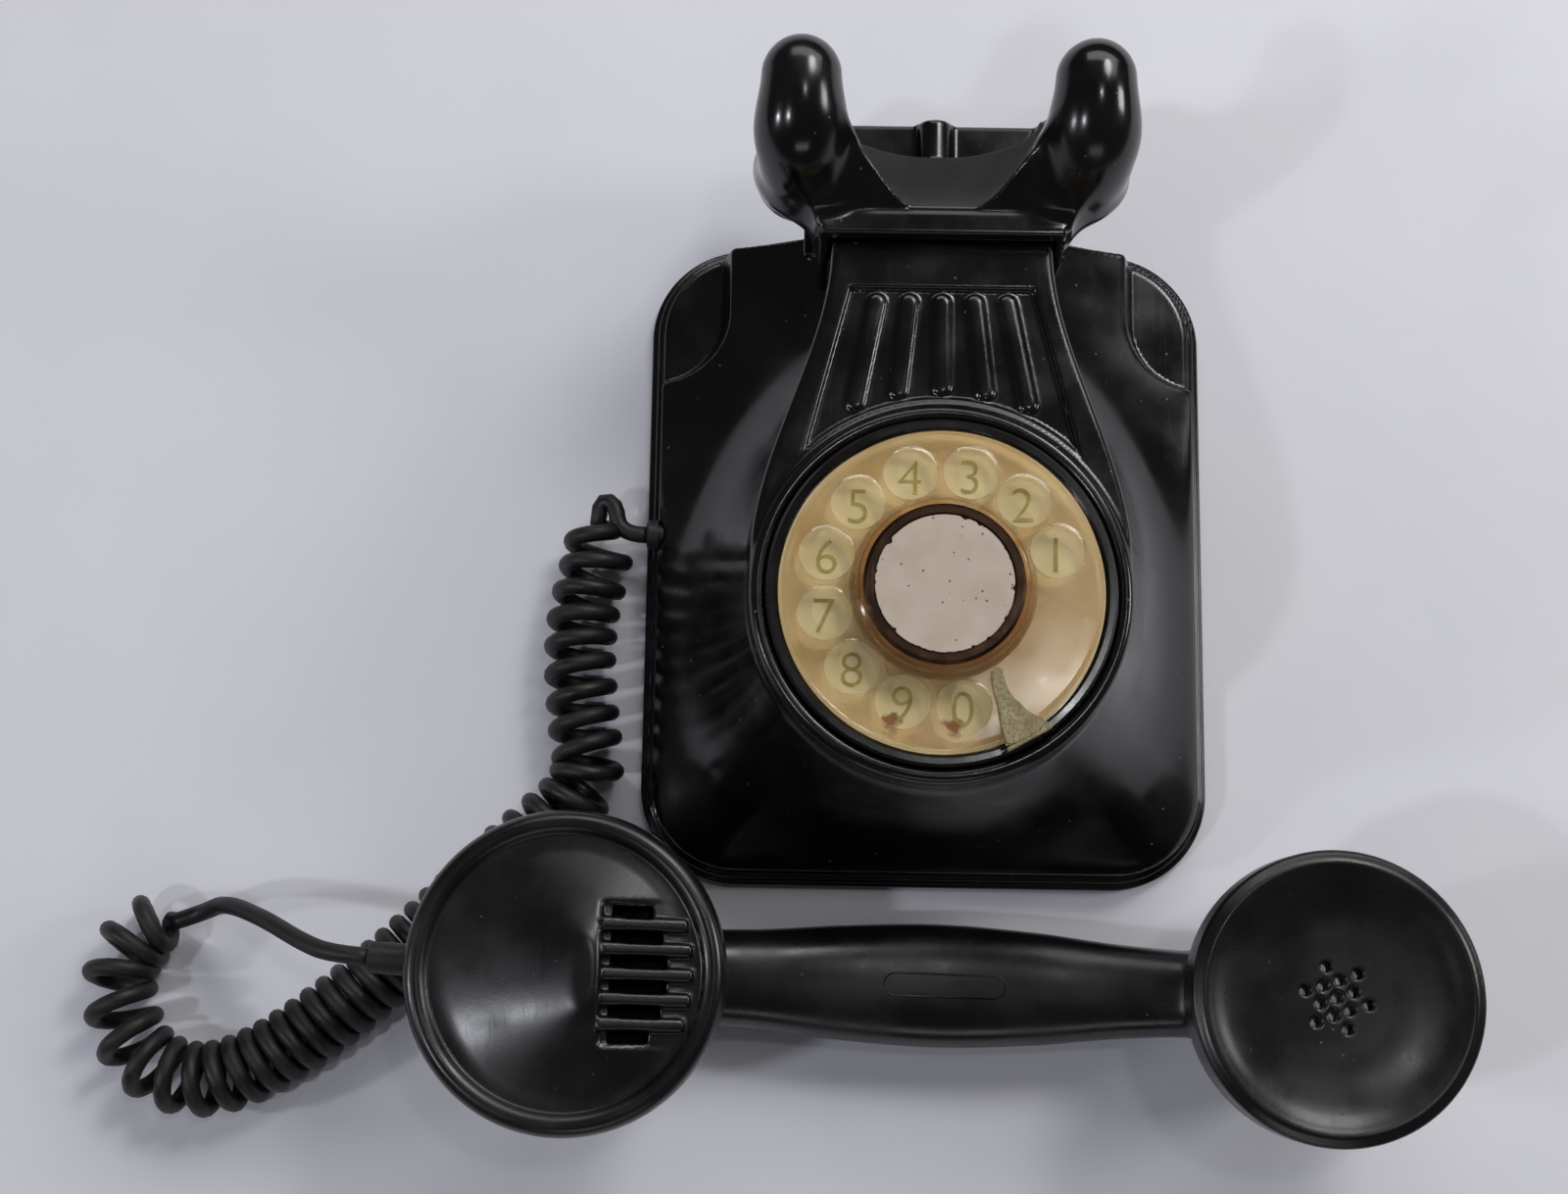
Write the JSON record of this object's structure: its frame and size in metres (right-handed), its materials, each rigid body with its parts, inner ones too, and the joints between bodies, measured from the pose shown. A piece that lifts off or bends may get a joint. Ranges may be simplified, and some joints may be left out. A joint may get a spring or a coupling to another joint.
{
  "type": "wall telephone",
  "caption": "Moulded wall telephone with a rotary dial, a sliding fork with two horns, a ringer inside, and a lift-off handset on a curly cord.",
  "frame": {"origin": "the middle of the wall face of the back plate", "axes": "+Z points out of the wall, +Y is the telephone's top where the fork is, +X is its right side seen from the front"},
  "size_m": [0.3376, 0.2554, 0.1001],
  "materials": {
    "phenolic": "black moulded phenolic, polished, worn dull in places",
    "steel": "zinc-plated sheet and bar",
    "spring_steel": "spring strip",
    "iron": "soft iron",
    "brass": "turned brass",
    "stop_brass": "pitted, dark brass",
    "gong_metal": "plated gong",
    "insulation": "brown laminated insulation",
    "winding": "varnished copper wire",
    "can": "pressed can",
    "enamel": "cream enamel, yellowed",
    "clear_plastic": "clear plastic gone amber",
    "card_metal": "dark, chipped metal ring",
    "card": "off-white speckled disc",
    "rubber": "black moulded rubber",
    "cord_rubber": "black rubber cord"
  },
  "bodies": {
    "base": {"housing": "phenolic", "dial_case": "phenolic", "back_plate": "steel", "cover_screws": "steel", "dial_frame": "steel", "dial_pillars": "steel", "return_spring": "spring_steel", "governor_cup": "brass", "governor_bracket": "steel", "impulse_contacts": "spring_steel", "impulse_insulators": "insulation", "number_plate": "enamel", "finger_stop": "stop_brass", "switch_bracket": "steel", "lever_pin": "steel", "hook_contacts": "spring_steel", "hook_insulators": "insulation", "gongs": "gong_metal", "gong_posts": "steel", "gong_screws": "steel", "ringer_coils": "winding", "ringer_frame": "iron", "armature_pin": "steel", "induction_core": "iron", "induction_winding": "winding", "capacitor": "can", "capacitor_clamp": "steel", "terminal_block": "insulation", "terminal_screws": "brass", "housing_gland": "rubber", "cord_coil": "cord_rubber", "cord_root": "cord_rubber", "cord_end": "cord_rubber"},
    "dial": {"finger_wheel": "clear_plastic", "card_holder": "card_metal", "dial_card": "card", "dial_shaft": "steel", "main_gear": "brass", "impulse_cam": "insulation"},
    "idler": {"idler_gear": "brass"},
    "governor": {"governor": "steel", "governor_weights": "brass"},
    "cradle": {"fork": "phenolic", "fork_rods": "steel", "fork_yoke": "steel"},
    "hook_lever": {"hook_lever": "steel"},
    "clapper": {"clapper": "iron"},
    "handset": {"handset_body": "phenolic", "mouth_cap": "phenolic", "ear_cap": "phenolic", "transmitter": "can", "receiver": "can", "transmitter_pegs": "brass", "receiver_pegs": "brass", "handset_wires": "rubber", "handset_gland": "rubber"}
  },
  "joints": [
    {"name": "dial_turn", "type": "hinge", "parent": "base", "child": "dial", "pos_m": [0, -0.02, 0.0748], "axis": [0, 0, -1], "range_deg": [0, 335], "stiffness_Nm_per_rad": 0.004},
    {"name": "idler_spin", "type": "hinge", "parent": "base", "child": "idler", "pos_m": [-0.02359, -0.03652, 0.0508], "axis": [0, 0, -1], "range_deg": [-1680, 5]},
    {"name": "governor_spin", "type": "hinge", "parent": "base", "child": "governor", "pos_m": [-0.01565, -0.03095, 0.042], "axis": [0.5736, -0.8192, 0], "range_deg": [-5, 8400]},
    {"name": "fork_slide", "type": "slide", "parent": "base", "child": "cradle", "axis": [0, -1, 0], "range_m": [0, 0.004], "stiffness_N_per_m": 250, "springref_m": -0.004},
    {"name": "lever_turn", "type": "hinge", "parent": "base", "child": "hook_lever", "pos_m": [0, 0.032, 0.031], "axis": [1, 0, 0], "range_deg": [0, 10.1]},
    {"name": "clapper_swing", "type": "hinge", "parent": "base", "child": "clapper", "pos_m": [0, -0.0165, 0.0125], "axis": [0, 0, 1], "range_deg": [-7, 7], "stiffness_Nm_per_rad": 0.001},
    {"name": "handset_lift", "type": "slide", "parent": "base", "child": "handset", "axis": [0, 0, 1], "range_m": [0, 0.12]}
  ],
  "couplings": [
    {"joint": "idler_spin", "follows": "dial_turn", "ratio": -5},
    {"joint": "governor_spin", "follows": "dial_turn", "ratio": 25},
    {"joint": "lever_turn", "follows": "fork_slide", "rad_per_m": 43.6}
  ]
}
